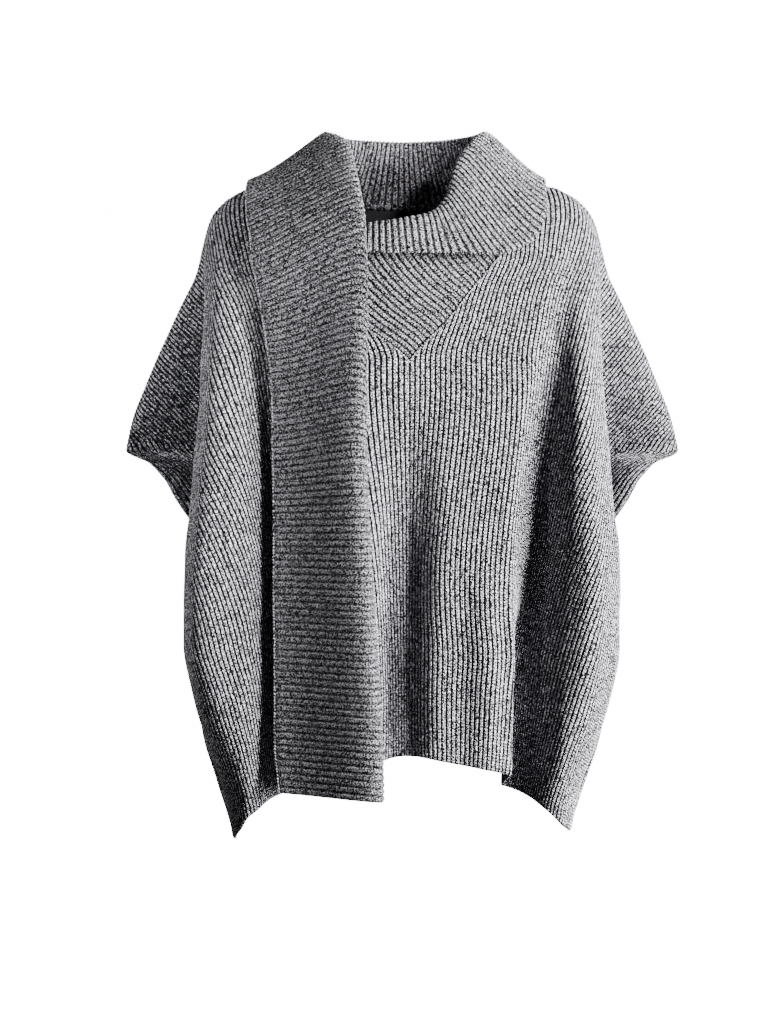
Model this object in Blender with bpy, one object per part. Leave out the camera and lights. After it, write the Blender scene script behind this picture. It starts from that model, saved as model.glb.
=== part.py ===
"""A ribbed poncho sweater in its worn, hollow form. Millimetres in the tables, metres in the scene.

Front is -Y, up is +Z. The origin is the middle of the neck's base.
"""
import bmesh
import bpy
import numpy as np

NAME = "knitted_poncho_sweater"
METRE = 0.001
WALL = 3.0
RIB_RISE = 1.2
SEAM_HALF_GAP = 0.15
STRIP_HALF_GAP = 0.25
V_RIB = 48.0
NECK_RIB = 64.0
HEM_RIB = 305.0
CUFF_RIB = 418.0
RIB_STEPS = {"v": 6, "neck": 4, "body": 34, "sleeve": 16}
PANEL_ROWS = {"front_panel": 18, "back_panel": 13}
SECTION_SQUARE = 3.0
SECTION_SAMPLES = 72
FOLD_SAMPLES = 30
COLUMN_SAMPLES = 160
COLUMN_CROWDING = 1.5
EDGE_HANDLE = 0.45
VALLEY_HANDLE = 0.35
SEAM_HANDLE = 0.4
YARN_ROUGHNESS = 0.95
LABEL_ROUGHNESS = 0.6
YARN_GREY = (0.200, 0.203, 0.210, 1.0)
LABEL_BLACK = (0.012, 0.012, 0.014, 1.0)

# Each panel is cut by level sections. A section starts on the neck edge or the centre line, runs to the
# body's edge, folds back into the valley beside the sleeve and comes out to the over-arm or side seam.
# rib is how far the knitted rib at that place lies from the centre rib.
OVER_ARM = [
    # height, across, depth, rib, heading
    (22, 112, 5, 64, 90),
    (20.5, 140, 5, 86, 90),
    (18, 165, 6, 108, 90),
    (12, 178, 6, 121, 90),
    (5, 189, 6, 134, 90),
    (-8, 201, 5, 151, 90),
    (-21, 208, 4, 165, 90),
    (-47, 215, 3, 191, 90),
    (-73, 221, 1, 217, 90),
    (-112, 239, 0, 259, 90),
    (-163, 262, -3, 315, 90),
    (-202, 278, -4, 357, 90),
    (-228, 288, -5, 385, 90),
    (-265, 296, -6, 418, 90),
]
CUFF_FRONT = [
    (-279, 271, -30, 418, 40),
    (-294, 255, -40, 418, 10),
    (-316, 242, -42, 418, 0),
    (-338, 228, -34, 418, 10),
]
CUFF_BACK = [
    (-279, 273, 30, 418, 140),
    (-294, 258, 46, 418, 170),
    (-316, 245, 54, 418, 180),
    (-338, 230, 48, 418, 170),
]
SIDE_SEAM = [
    (-368, 196, 10, 418, 70),
    (-420, 206, 20, 392, 90),
    (-500, 213, 22, 356, 90),
    (-580, 199, 8, 325, 90),
    (-674, 180, 0, 305, 90),
]
FRONT_EDGE = [
    # height, across, depth, rib
    (22, 112, 4, 64),
    (20.5, 138, 0, 84),
    (18, 161, -4, 104),
    (12, 173, -8, 116),
    (5, 183, -11, 127),
    (-8, 194, -15, 141),
    (-21, 202, -19, 152),
    (-47, 209, -28, 171),
    (-76, 210, -40, 183),
    (-114, 209, -52, 196),
    (-165, 211, -62, 212),
    (-216, 213, -68, 229),
    (-264, 217, -73, 245),
    (-300, 220, -76, 256),
    (-331, 223, -77, 265),
    (-368, 228, -74, 274),
    (-420, 230, -66, 283),
    (-471, 230, -56, 290),
    (-534, 219, -42, 296),
    (-585, 203, -28, 300),
    (-636, 187, -12, 302),
    (-674, 180, -2, 304.5),
]
FRONT_VALLEY_LEFT = [
    (22, 112, 4.5, 64),
    (5, 186, -3, 130),
    (-21, 205, -8, 158),
    (-51, 209, -14, 182),
    (-76, 206, -18, 202),
    (-114, 198, -18, 226),
    (-165, 188, -10, 257),
    (-216, 180, -2, 285),
    (-264, 171, 6, 310),
    (-331, 160, 20, 344),
    (-368, 158, 24, 353),
    (-420, 178, 12, 345),
    (-471, 208, 0, 331),
    (-534, 216, -12, 314),
    (-674, 180, -1, 304.8),
]
FRONT_VALLEY_RIGHT = [
    (22, 112, 4.5, 64),
    (5, 186, -3, 130),
    (-21, 205, -8, 158),
    (-51, 209, -14, 182),
    (-76, 208, -22, 200),
    (-114, 203, -26, 223),
    (-165, 196, -22, 254),
    (-216, 188, -14, 282),
    (-264, 178, -4, 308),
    (-331, 164, 18, 344),
    (-368, 160, 22, 353),
    (-420, 178, 12, 345),
    (-471, 208, 0, 331),
    (-534, 216, -12, 314),
    (-674, 180, -1, 304.8),
]
BACK_EDGE = [
    (22, 112, 6, 64),
    (20.5, 138, 10, 84),
    (18, 161, 13, 104),
    (12, 173, 16, 116),
    (5, 183, 19, 127),
    (-8, 195, 22, 141),
    (-21, 203, 26, 152),
    (-47, 208, 34, 171),
    (-76, 208, 42, 182),
    (-114, 207, 54, 198),
    (-165, 207, 64, 213),
    (-216, 208, 70, 229),
    (-264, 211, 75, 245),
    (-300, 213, 78, 255),
    (-331, 215, 79, 263),
    (-368, 219, 77, 271),
    (-420, 221, 70, 280),
    (-471, 221, 62, 287),
    (-534, 211, 48, 294),
    (-585, 197, 34, 299),
    (-636, 184, 18, 302),
    (-674, 180, 4, 304.5),
]
BACK_VALLEY = [
    (22, 112, 5.5, 64),
    (5, 186, 13, 130),
    (-21, 205, 16, 158),
    (-51, 209, 20, 182),
    (-76, 206, 26, 201),
    (-114, 200, 30, 225),
    (-165, 192, 32, 255),
    (-216, 186, 34, 282),
    (-264, 182, 38, 308),
    (-331, 184, 46, 338),
    (-368, 190, 48, 346),
    (-420, 206, 46, 342),
    (-500, 214, 36, 322),
    (-580, 200, 22, 309),
    (-674, 180, 2, 304.8),
]
NECK_RIGHT = [
    # height, across, depth on the centre line, rib
    (22, 112, 5, 64),
    (12, 112, -22, 62),
    (0, 111, -46, 60.5),
    (-20, 109, -66, 57.5),
    (-56, 104, -86, 52),
    (-92, 74, -98, 38),
    (-128, 44, -108, 23),
    (-172, 0, -115, 0),
]
NECK_LEFT = [
    (22, 112, 5, 64),
    (12, 112, -22, 62),
    (0, 111, -46, 60.5),
    (-40, 108, -76, 55),
    (-70, 99, -92, 49),
    (-104, 76, -102, 39),
    (-136, 44, -110, 23),
    (-172, 0, -115, 0),
]
FRONT_CENTRE = [
    (-230, 0, -121, 0),
    (-300, 0, -123, 0),
    (-420, 0, -121, 0),
    (-520, 0, -122, 0),
    (-674, 0, -124, 0),
]
NECK_BACK = [
    (22, 112, 20, 64),
    (12, 98, 50, 55),
    (6, 62, 68, 36),
    (2, 0, 72, 0),
]
BACK_CENTRE = [
    (-30, 0, 80, 0),
    (-76, 0, 88, 0),
    (-165, 0, 95, 0),
    (-264, 0, 97, 0),
    (-420, 0, 95, 0),
    (-540, 0, 97, 0),
    (-674, 0, 100, 0),
]
# The V's point lies a little to the wearer's left.
CENTRE_SHIFT = [(22, 0), (0, 2), (-60, 8), (-674, 8)]

# How far the ribs are drawn towards the centre below the neck, as a share of the section.
DRAWN_IN = [(22, 0), (-140, 0), (-290, 0.04), (-674, 0.04)]

# Each fold is a trough that follows its own path down the panel. inner is its half width towards the
# centre and outer its half width towards the side; tuck is how far its bottom is drawn in under the
# cloth nearer the centre. A depth below nothing is a ridge.
FOLDS = {
    "front_right": [
        [
            # height, across, depth, inner, outer, tuck
            (-40, 185, 0, 20, 22, 0),
            (-90, 174, 7, 22, 26, 0),
            (-160, 161, 15, 26, 34, 0),
            (-255, 148, 26, 32, 38, 0),
            (-340, 141, 36, 32, 40, 0),
            (-424, 136, 44, 24, 42, 8),
            (-490, 131, 48, 16, 44, 18),
            (-674, 126, 48, 15, 44, 20),
        ],
        [
            (-205, 4, 0, 40, 46, 0),
            (-291, 4, 15, 40, 46, 0),
            (-392, 0, 28, 40, 46, 0),
            (-498, -8, 32, 40, 48, 0),
            (-600, -8, 24, 40, 48, 0),
        ],
        [(-360, 90, 0, 34, 18, 0), (-460, 92, -8, 34, 18, 0), (-674, 92, -9, 34, 18, 0)],
        [
            (-60, 180, 0, 26, 20, 0),
            (-165, 190, -8, 30, 21, 0),
            (-264, 194, -16, 34, 23, 0),
            (-424, 202, -22, 38, 28, 0),
            (-534, 192, -18, 36, 26, 0),
            (-585, 178, -12, 34, 24, 0),
            (-636, 164, -4, 32, 22, 0),
        ],
    ],
    "front_left": [
        [
            (0, 158, 0, 16, 20, 0),
            (-70, 150, 8, 24, 30, 0),
            (-160, 140, 20, 44, 40, 0),
            (-255, 132, 30, 60, 42, 0),
            (-424, 127, 36, 62, 44, 0),
            (-674, 123, 38, 62, 44, 0),
        ],
        [
            (-205, -4, 0, 46, 40, 0),
            (-291, -4, 15, 46, 40, 0),
            (-392, 0, 28, 46, 40, 0),
            (-498, 8, 32, 48, 40, 0),
            (-600, 8, 24, 48, 40, 0),
        ],
        [
            (-30, 186, 0, 36, 14, 0),
            (-90, 194, -8, 42, 14, 0),
            (-165, 196, -15, 50, 14, 0),
            (-264, 202, -19, 58, 14, 0),
            (-331, 209, -20, 60, 14, 0),
            (-424, 216, -20, 60, 14, 0),
            (-471, 216, -20, 60, 14, 0),
            (-534, 205, -17, 56, 14, 0),
            (-585, 189, -11, 52, 14, 0),
            (-636, 173, -4, 50, 14, 0),
        ],
    ],
    "back_right": [
        [
            (-40, 150, 0, 24, 24, 0),
            (-200, 140, 14, 26, 26, 0),
            (-420, 132, 26, 26, 28, 0),
            (-674, 126, 30, 26, 30, 0),
        ],
        [(-260, 48, 0, 28, 28, 0), (-440, 46, 12, 30, 30, 0), (-674, 44, 16, 30, 30, 0)],
    ],
    "back_left": [
        [
            (-60, 156, 0, 24, 24, 0),
            (-230, 146, 16, 26, 26, 0),
            (-430, 138, 30, 26, 28, 0),
            (-674, 130, 34, 26, 30, 0),
        ],
        [(-320, 60, 0, 28, 28, 0), (-460, 60, 10, 30, 30, 0), (-674, 58, 14, 30, 30, 0)],
    ],
}
HEMS = {
    # rib, height
    "front_panel": [
        (0, -586),
        (62, -594),
        (100, -600),
        (125, -606),
        (160, -618),
        (200, -637),
        (240, -656),
        (275, -668),
        (305, -674),
    ],
    "back_panel": [(0, -572), (80, -580), (140, -594), (200, -618), (250, -644), (305, -674)],
}
# The wearer's right side hangs lower, from this height down.
LOW_SIDE = (-480, 9.0)
SIDE_OF_PANEL = {
    "front_right": (NECK_RIGHT + FRONT_CENTRE, FRONT_EDGE, FRONT_VALLEY_RIGHT, CUFF_FRONT, 1),
    "front_left": (NECK_LEFT + FRONT_CENTRE, FRONT_EDGE, FRONT_VALLEY_LEFT, CUFF_FRONT, 1),
    "back_right": (NECK_BACK + BACK_CENTRE, BACK_EDGE, BACK_VALLEY, CUFF_BACK, -1),
    "back_left": (NECK_BACK + BACK_CENTRE, BACK_EDGE, BACK_VALLEY, CUFF_BACK, -1),
}

# The shawl strip starts under its own free end, runs round the neck and hangs down the front. Each
# station crosses it from its sewn edge over the fold to its outer edge. Its stretch round the neck
# ends on the wearer's right shoulder, and the rest is the free end, folded lengthwise.
STRIP = [
    # seam x y z, fold x y z, edge x y z, how round the fold is, how far the turned part sags
    (-84, -90, -60, -80, -86, -44, -82, -112, -72, 6, 0),
    (-36, -94, -48, -36, -92, -28, -37, -115, -58, 7, 0),
    (0, -96, -46, -2, -95, -23, 2, -117, -59, 8, 0),
    (33, -92, -42, 31, -88, -15, 44, -115, -59, 8, 0),
    (66, -82, -36, 47, -74, 4, 92, -111, -60, 9, 2),
    (98, -68, -26, 57, -52, 38, 132, -91, -48, 12, 6),
    (104, -38, 1, 73, -27, 65, 154, -61, -10, 13, 8),
    (105, 4, 15, 86, 2, 77, 155, 0, 27, 13, 8),
    (91, 41, 10, 67, 48, 76, 140, 66, 22, 12, 6),
    (55.5, 60.5, 2, 36, 66, 75, 74, 104, -8, 10, 3),
    (0, 66, -1, 0, 72, 74, 0, 114, -22, 10, 2),
    (-55.5, 60.5, 2, -36, 66, 75, -74, 104, -12, 10, 3),
    (-91, 41, 10, -66, 48, 76, -142, 70, 18, 8, 6),
    (-105, 6, 15, -81, 6, 78, -164, 6, 27, 6, 9),
    (-103, -30, -2, -59, -42, 65, -166, -36, 12, 7, 6),
    (-99, -62, -28, -51, -77, 38, -165, -62, -13, 9, 2),
    (-98, -90, -54, -45, -103, 10, -160, -86, -40, 11, 0),
    (-98, -108, -80, -40, -123, -20, -157, -101, -70, 14, 0),
    (-98, -120, -106, -38, -136, -58, -150, -109, -99, 19, 2),
    (-98, -123, -128, -37, -142, -96, -146, -112, -126, 22, 4),
    (-98, -123, -156, -37, -146, -138, -141, -112, -157, 24, 6),
    (-98, -122, -200, -38, -148, -190, -136, -110, -201, 24, 6),
    (-96, -121, -262, -38, -149, -254, -135, -109, -264, 24, 6),
    (-94, -119, -330, -36, -149, -328, -134, -108, -331, 24, 6),
    (-92, -118, -412, -31, -149, -413, -134, -108, -412, 24, 6),
    (-90, -118, -500, -25, -149, -502, -133, -108, -500, 24, 6),
    (-90, -118, -570, -21, -149, -573, -133, -108, -568, 24, 6),
    (-92, -118, -626, -20, -149, -630, -128, -112, -624, 24, 6),
]
SHOULDER_STATION = 13
STRIP_RIBS = {"collar_roll": 34, "scarf_end": 40}
STRIP_ACROSS = {"collar_roll": 9, "scarf_end": 8}
STRIP_SAMPLES = 40
STAND_HANDLE = 0.42
TURN_HANDLE = 0.35
# The strip's length runs mostly along its fold, and in this share along its outer edge.
OUTER_EDGE_SHARE = 0.6
INSET_RIBS = 11
INSET_ROWS = 6
INSET_TUCK = 5.0
INSET_CLEAR = 2.4
LEVEL_BELOW_NECK = 40.0
INSET_RIGHT_RIB = 54.0
INSET_LEFT_RIB = 52.0
INSET_TOP_SHARE = 0.36
INSET_REACH = 0.95
INSET_BELOW_COLLAR = (0, 2.0, -2.6)
LABEL_SIZE = (76.0, 1.0, 20.0)
LABEL_CENTRE = (-8.0, 67.6, -11.5)
LABEL_BEND = 0.0022
LABEL_CUTS = 8


def smooth(table, column, at):
    """Reads one column of a table at the given keys, without overshooting between its rows."""
    rows = sorted(table)
    keys = np.array([row[0] for row in rows], float)
    values = np.array([row[column] for row in rows], float)
    widths = np.diff(keys)
    slopes = np.diff(values) / widths
    ends = np.zeros_like(values)
    ends[0], ends[-1] = slopes[0], slopes[-1]
    for i in range(1, len(keys) - 1):
        before, after = slopes[i - 1], slopes[i]
        if before * after > 0:
            near, far = 2 * widths[i] + widths[i - 1], widths[i] + 2 * widths[i - 1]
            ends[i] = (near + far) / (near / before + far / after)
    at = np.clip(at, keys[0], keys[-1])
    i = np.clip(np.searchsorted(keys, at) - 1, 0, len(keys) - 2)
    width = widths[i]
    s = (at - keys[i]) / width
    hold = values[i] * (1 + 2 * s) * (1 - s) ** 2 + values[i + 1] * s * s * (3 - 2 * s)
    lean = ends[i] * s * (1 - s) ** 2 + ends[i + 1] * s * s * (s - 1)
    return hold + width * lean


def bezier(p0, p1, p2, p3, steps):
    """Cubic curves, one for each row of the four control arrays."""
    s = np.linspace(0, 1, steps)[None, :, None]
    p0, p1, p2, p3 = (p[:, None, :] for p in (p0, p1, p2, p3))
    return p0 * (1 - s) ** 3 + 3 * p1 * s * (1 - s) ** 2 + 3 * p2 * s * s * (1 - s) + p3 * s**3


def along(curves, part):
    """The point on each curve at that part of its length."""
    lengths = np.linalg.norm(np.diff(curves, axis=1), axis=2)
    run = np.concatenate([np.zeros((len(curves), 1)), np.cumsum(lengths, axis=1)], axis=1)
    target = np.clip(part, 0, 1) * run[:, -1]
    i = np.clip((run < target[:, None]).sum(axis=1) - 1, 0, curves.shape[1] - 2)
    row = np.arange(len(curves))
    step = np.maximum(run[row, i + 1] - run[row, i], 1e-9)
    s = ((target - run[row, i]) / step)[:, None]
    return curves[row, i] * (1 - s) + curves[row, i + 1] * s


def unit(vectors):
    return vectors / np.maximum(np.linalg.norm(vectors, axis=-1, keepdims=True), 1e-9)


def section_points(side, rib, height):
    """Points of a panel's half at these ribs and heights, with across measured away from the centre."""
    centre, edge, valley, cuff, facing = SIDE_OF_PANEL[side]
    outer = OVER_ARM + cuff + SIDE_SEAM
    start, depth, start_rib = (smooth(centre, k, height) for k in (1, 2, 3))
    edge_x, edge_y, edge_rib = (smooth(edge, k, height) for k in (1, 2, 3))
    valley_x, valley_y, valley_rib = (smooth(valley, k, height) for k in (1, 2, 3))
    outer_x, outer_y, outer_rib, heading = (smooth(outer, k, height) for k in (1, 2, 3, 4))
    shift = smooth(CENTRE_SHIFT, 1, height) * (1 if side.endswith("right") else -1)
    start = np.minimum(start + shift * (1 - start / OVER_ARM[0][1]), edge_x - 0.001)

    first = np.arcsin(np.clip(np.abs(start / edge_x), 0, 1) ** (SECTION_SQUARE / 2)) * np.sign(start)
    turn = first[:, None] + (np.pi / 2 - first[:, None]) * np.linspace(0, 1, SECTION_SAMPLES)[None]
    x = edge_x[:, None] * np.sign(np.sin(turn)) * np.abs(np.sin(turn)) ** (2 / SECTION_SQUARE)
    y = edge_y[:, None] + (depth - edge_y)[:, None] * np.abs(np.cos(turn)) ** (2 / SECTION_SQUARE)
    section_x = x
    for fold in FOLDS[side]:
        middle, deep, inner, outer_half, tuck = (
            smooth(fold, k, height)[:, None] for k in (1, 2, 3, 4, 5)
        )
        deep, tuck = (np.where(height[:, None] > fold[0][0], 0, value) for value in (deep, tuck))
        away = section_x - middle
        away = np.clip(away / np.where(away < 0, inner, outer_half), -1, 1)
        dip = 0.5 * (1 + np.cos(np.pi * away))
        x = x - tuck * dip
        y = y + facing * deep * dip
    body = np.stack([x, y], axis=2)

    edge_at = np.stack([edge_x, edge_y], axis=1)
    valley_at = np.stack([valley_x, valley_y], axis=1)
    outer_at = np.stack([outer_x, outer_y], axis=1)
    inward = np.stack([np.zeros_like(height), np.full_like(height, facing)], axis=1)
    through = unit(outer_at - edge_at)
    arrive = facing * np.stack([np.cos(np.radians(heading)), np.sin(np.radians(heading))], axis=1)
    to_valley = np.linalg.norm(valley_at - edge_at, axis=1, keepdims=True)
    to_outer = np.linalg.norm(outer_at - valley_at, axis=1, keepdims=True)
    leave_edge = edge_at + inward * to_valley * EDGE_HANDLE
    reach_valley = valley_at - through * to_valley * VALLEY_HANDLE
    back_in = bezier(edge_at, leave_edge, reach_valley, valley_at, FOLD_SAMPLES)
    leave_valley = valley_at + through * to_outer * VALLEY_HANDLE
    reach_seam = outer_at - arrive * to_outer * SEAM_HANDLE
    out_again = bezier(valley_at, leave_valley, reach_seam, outer_at, FOLD_SAMPLES)

    share = np.clip((rib - start_rib) / np.maximum(edge_rib - start_rib, 1e-6), 0, 1)
    on_body = along(body, share - smooth(DRAWN_IN, 1, height) * np.sin(np.pi * share))
    on_fold = along(back_in, (rib - edge_rib) / np.maximum(valley_rib - edge_rib, 1e-6))
    on_sleeve = along(out_again, (rib - valley_rib) / np.maximum(outer_rib - valley_rib, 1e-6))
    past_edge = np.where((rib <= valley_rib)[:, None], on_fold, on_sleeve)
    flat = np.where((rib <= edge_rib)[:, None], on_body, past_edge)
    return np.column_stack([flat, height])


def column_ends(panel, side, rib):
    """The heights at which a rib's column starts and ends."""
    centre = SIDE_OF_PANEL[side][0]
    neck = sorted((row[3], row[0]) for row in centre if row[3] > 0)
    neck.insert(0, (0, max(row[0] for row in centre if row[3] == 0)))
    arm = sorted((row[3], row[0]) for row in OVER_ARM)
    seam = sorted((row[3], row[0]) for row in SIDE_SEAM)
    away = abs(rib)
    rows = neck if away < NECK_RIB else arm
    top = np.interp(away, [row[0] for row in rows], [row[1] for row in rows])
    if away < HEM_RIB:
        return top, float(smooth(HEMS[panel], 1, np.array([away]))[0])
    return top, np.interp(away, [row[0] for row in seam], [row[1] for row in seam])


def column_points(panel, rib, rows):
    """One rib's line down a panel, as evenly spaced points.

    Below the neck the points of the ribs that start on its edge lie level with those beside them.
    """
    face = "front" if panel == "front_panel" else "back"
    side = face + ("_right" if rib >= 0 else "_left")
    top, bottom = column_ends(panel, side, rib)
    height = top + (bottom - top) * np.linspace(0, 1, COLUMN_SAMPLES) ** COLUMN_CROWDING
    points = section_points(side, np.full(COLUMN_SAMPLES, abs(rib)), height)
    if rib < 0:
        points[:, 0] *= -1
        low = np.clip((LOW_SIDE[0] - height) / (LOW_SIDE[0] - SIDE_SEAM[-1][0]), 0, 1)
        points[:, 2] -= LOW_SIDE[1] * low**2 * min(1, -rib / HEM_RIB)
    if abs(rib) >= NECK_RIB:
        return np.array([along(points[None], part)[0] for part in np.linspace(0, 1, rows + 1)])
    guide = column_points(panel, np.copysign(NECK_RIB, rib), rows)[:, 2]
    lowest = column_ends(panel, side, 0)[0] - LEVEL_BELOW_NECK
    first = int(np.argmax(guide < lowest))
    upper = points[0, 2] + (guide - guide[0]) * (guide[first] - points[0, 2]) / (guide[first] - guide[0])
    lower = guide + (points[-1, 2] - guide[-1]) * (guide - guide[first]) / (guide[-1] - guide[first])
    level = np.where(np.arange(rows + 1) < first, upper, lower)
    return np.stack([np.interp(-level, -points[:, 2], points[:, k]) for k in range(3)], axis=1)


def rib_places():
    """Ribs from one cuff to the other, with a place on each ridge, each trough and midway between."""
    half = [np.linspace(0, V_RIB, 2 * RIB_STEPS["v"] + 1)]
    half.append(np.linspace(V_RIB, NECK_RIB, 2 * RIB_STEPS["neck"] + 1)[1:])
    half.append(np.linspace(NECK_RIB, HEM_RIB, 2 * RIB_STEPS["body"] + 1)[1:])
    half.append(np.linspace(HEM_RIB, CUFF_RIB, 2 * RIB_STEPS["sleeve"] + 1)[1:])
    half = np.concatenate(half)
    return np.concatenate([-half[:0:-1], half])


def outward(points, sign):
    """Unit normals of a grid of points."""
    down, across = np.gradient(points, axis=(0, 1))
    return unit(sign * np.cross(across, down))


def panel_grid(panel, rows):
    """A panel's points and normals. On the seams both panels share them, apart from half the gap."""
    ribs = rib_places()
    points = np.stack([column_points(panel, rib, 2 * rows) for rib in ribs], axis=1)
    front = -1 if panel == "front_panel" else 1
    normals = outward(points, front)
    for row, on_seam in ((0, np.abs(ribs) >= NECK_RIB - 0.01), (-1, np.abs(ribs) >= HEM_RIB - 0.01)):
        line = points[row]
        level = np.gradient(line, axis=0)
        level[:, 1] = 0
        seam = unit(np.stack([-level[:, 2], level[:, 1], level[:, 0]], axis=1))
        seam *= np.sign(seam[:, :1] * line[:, :1])
        normals[row, on_seam] = seam[on_seam]
        points[row, on_seam, 1] += front * SEAM_HALF_GAP
    return points, normals


def strip_points(keys, at, across):
    """Points of the shawl strip at these distances along it."""
    table = np.array(STRIP, float)
    rows = [(key, *row) for key, row in zip(keys, table)]
    seam, fold, edge = (
        np.stack([smooth(rows, k, at) for k in range(first, first + 3)], axis=1) for first in (1, 4, 7)
    )
    roundness, sag = (smooth(rows, k, at)[:, None] for k in (10, 11))
    width = unit(fold - (seam + edge) / 2)
    over = edge - seam
    over = unit(over - width * (over * width).sum(axis=1, keepdims=True))
    to_seam = STAND_HANDLE * np.linalg.norm(fold - seam, axis=1, keepdims=True)
    stand = bezier(seam, seam + width * to_seam, fold - over * roundness, fold, STRIP_SAMPLES)
    reach_edge = edge + TURN_HANDLE * (fold - edge) - over * sag
    turned = bezier(fold, fold + over * roundness, reach_edge, edge, STRIP_SAMPLES)
    whole = np.concatenate([stand, turned[:, 1:]], axis=1)
    parts = np.linspace(0, 1, across + 1)
    return np.stack([along(whole, np.full(len(at), part)) for part in parts], axis=0)


def strip_grid(piece):
    """A stretch of the shawl strip. Its ribs cross it from the sewn edge over the fold to the outer edge."""
    table = np.array(STRIP, float)
    ribs, across = STRIP_RIBS[piece], STRIP_ACROSS[piece]
    run = np.linalg.norm(np.diff(table[:, 3:6], axis=0), axis=1)
    run = run + OUTER_EDGE_SHARE * np.linalg.norm(np.diff(table[:, 6:9], axis=0), axis=1)
    keys = np.concatenate([[0], np.cumsum(run)])
    if piece == "collar_roll":
        at = np.linspace(0, keys[SHOULDER_STATION] - STRIP_HALF_GAP, 4 * ribs + 1)
    else:
        at = np.linspace(keys[SHOULDER_STATION] + STRIP_HALF_GAP, keys[-1], 4 * ribs + 1)
    points = strip_points(keys, at, 2 * across)
    ahead = strip_points(keys, at + 1, 2 * across) - strip_points(keys, at - 1, 2 * across)
    return points, unit(np.cross(np.gradient(points, axis=0), ahead))


def inset_grid(ribs, rows):
    """The cloth that fills the V, behind the front's neck edge, with its ribs along the V's left edge."""
    places = rib_places()
    points, normals = panel_grid("front_panel", rows)
    edge = points[0] - normals[0] * (WALL + INSET_CLEAR)
    edge += INSET_TUCK * unit(np.cross(np.gradient(points[0], axis=0), normals[0]))
    right = edge[(places >= 0) & (places < INSET_RIGHT_RIB)]
    left = edge[(places < 0) & (places > -INSET_LEFT_RIB)][::-1]
    collar = strip_grid("collar_roll")[0][0]
    top = collar[: int(len(collar) * INSET_TOP_SHARE)] + np.array(INSET_BELOW_COLLAR)
    left = np.concatenate([right[:1], left, top[:1]])
    part = np.linspace(0, INSET_REACH, 4 * ribs + 1)
    rise = np.linspace(0, 1, 2 * rows + 1)
    low = along(np.repeat(right[None], len(part), axis=0), part)
    high = along(np.repeat(top[None], len(part), axis=0), part)
    first = along(np.repeat(left[None], len(rise), axis=0), rise)
    points = np.empty((len(rise), len(part), 3))
    for i, s in enumerate(rise):
        straight = low * (1 - s) + high * s
        points[i] = straight + (first[i] - straight[0]) * (1 - part[:, None] / part[-1])
    return points, outward(points, 1)


def sheet(mesh, points, middles):
    """Lays a grid over an array of points, and splits each cell along the diagonal nearer its middle."""
    rows, columns = points.shape[:2]
    made = bmesh.ops.create_grid(mesh, x_segments=columns - 1, y_segments=rows - 1, size=1)["verts"]
    for vert, place in zip(made, points.reshape(-1, 3)):
        vert.co = place * METRE
    verts = [made[row * columns : (row + 1) * columns] for row in range(rows)]
    falling = np.linalg.norm((points[:-1, :-1] + points[1:, 1:]) / 2 - middles, axis=2)
    rising = np.linalg.norm((points[:-1, 1:] + points[1:, :-1]) / 2 - middles, axis=2)
    for i in range(rows - 1):
        for k in range(columns - 1):
            ends = (verts[i][k], verts[i + 1][k + 1])
            if rising[i, k] < falling[i, k]:
                ends = (verts[i][k + 1], verts[i + 1][k])
            cell = set(ends[0].link_faces) & set(ends[1].link_faces)
            bmesh.utils.face_split(cell.pop(), *ends)
    return verts


def build_wall(name, grid, colour):
    """A wall with its ribs raised on the outer points, over a plain inside of half as many columns.

    The grid has every second row and column for the corners, and those between for the cells' middles.
    """
    points, normals = grid
    wave = np.arange(points.shape[1]) % 4
    ridge = RIB_RISE * (1 - np.abs(wave - 2) / 2)
    raised = points + normals * ridge[None, :, None]
    plain = points - normals * WALL
    mesh = bmesh.new()
    outer = sheet(mesh, raised[::2, ::2], raised[1::2, 1::2])
    inner = sheet(mesh, plain[::2, ::4], plain[1::2, 2::4])
    for row in (0, -1):
        for k in range(len(inner[0]) - 1):
            rim = outer[row][2 * k : 2 * k + 3] + [inner[row][k + 1], inner[row][k]]
            mesh.faces.new(rim)
    for column in (0, -1):
        for k in range(len(inner) - 1):
            ends = [outer[k][column], outer[k + 1][column], inner[k + 1][column], inner[k][column]]
            mesh.faces.new(ends)
    bmesh.ops.triangulate(mesh, faces=mesh.faces)
    bmesh.ops.recalc_face_normals(mesh, faces=mesh.faces)
    return finish(name, mesh, colour, YARN_ROUGHNESS)


def build_label():
    """The woven label hangs inside the back neck, bent to the neck's curve."""
    mesh = bmesh.new()
    bmesh.ops.create_cube(mesh, size=1)
    bmesh.ops.scale(mesh, verts=mesh.verts, vec=LABEL_SIZE)
    long_edges = [edge for edge in mesh.edges if abs(edge.verts[0].co.x - edge.verts[1].co.x) > 1]
    bmesh.ops.subdivide_edges(mesh, edges=long_edges, cuts=LABEL_CUTS, use_grid_fill=True)
    for vert in mesh.verts:
        x = vert.co.x + LABEL_CENTRE[0]
        y = vert.co.y + LABEL_CENTRE[1] - LABEL_BEND * x * x
        vert.co = (x * METRE, y * METRE, (vert.co.z + LABEL_CENTRE[2]) * METRE)
    bmesh.ops.triangulate(mesh, faces=mesh.faces)
    bmesh.ops.recalc_face_normals(mesh, faces=mesh.faces)
    return finish("neck_label", mesh, LABEL_BLACK, LABEL_ROUGHNESS)


def finish(name, mesh, colour, roughness):
    data = bpy.data.meshes.new(name)
    mesh.to_mesh(data)
    mesh.free()
    piece = bpy.data.objects.new(name, data)
    bpy.data.collections[NAME].objects.link(piece)
    material = bpy.data.materials.new(name)
    material.use_nodes = True
    shader = material.node_tree.nodes["Principled BSDF"]
    shader.inputs["Base Color"].default_value = colour
    shader.inputs["Roughness"].default_value = roughness
    shader.inputs["Metallic"].default_value = 0.0
    data.materials.append(material)
    return piece


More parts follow.
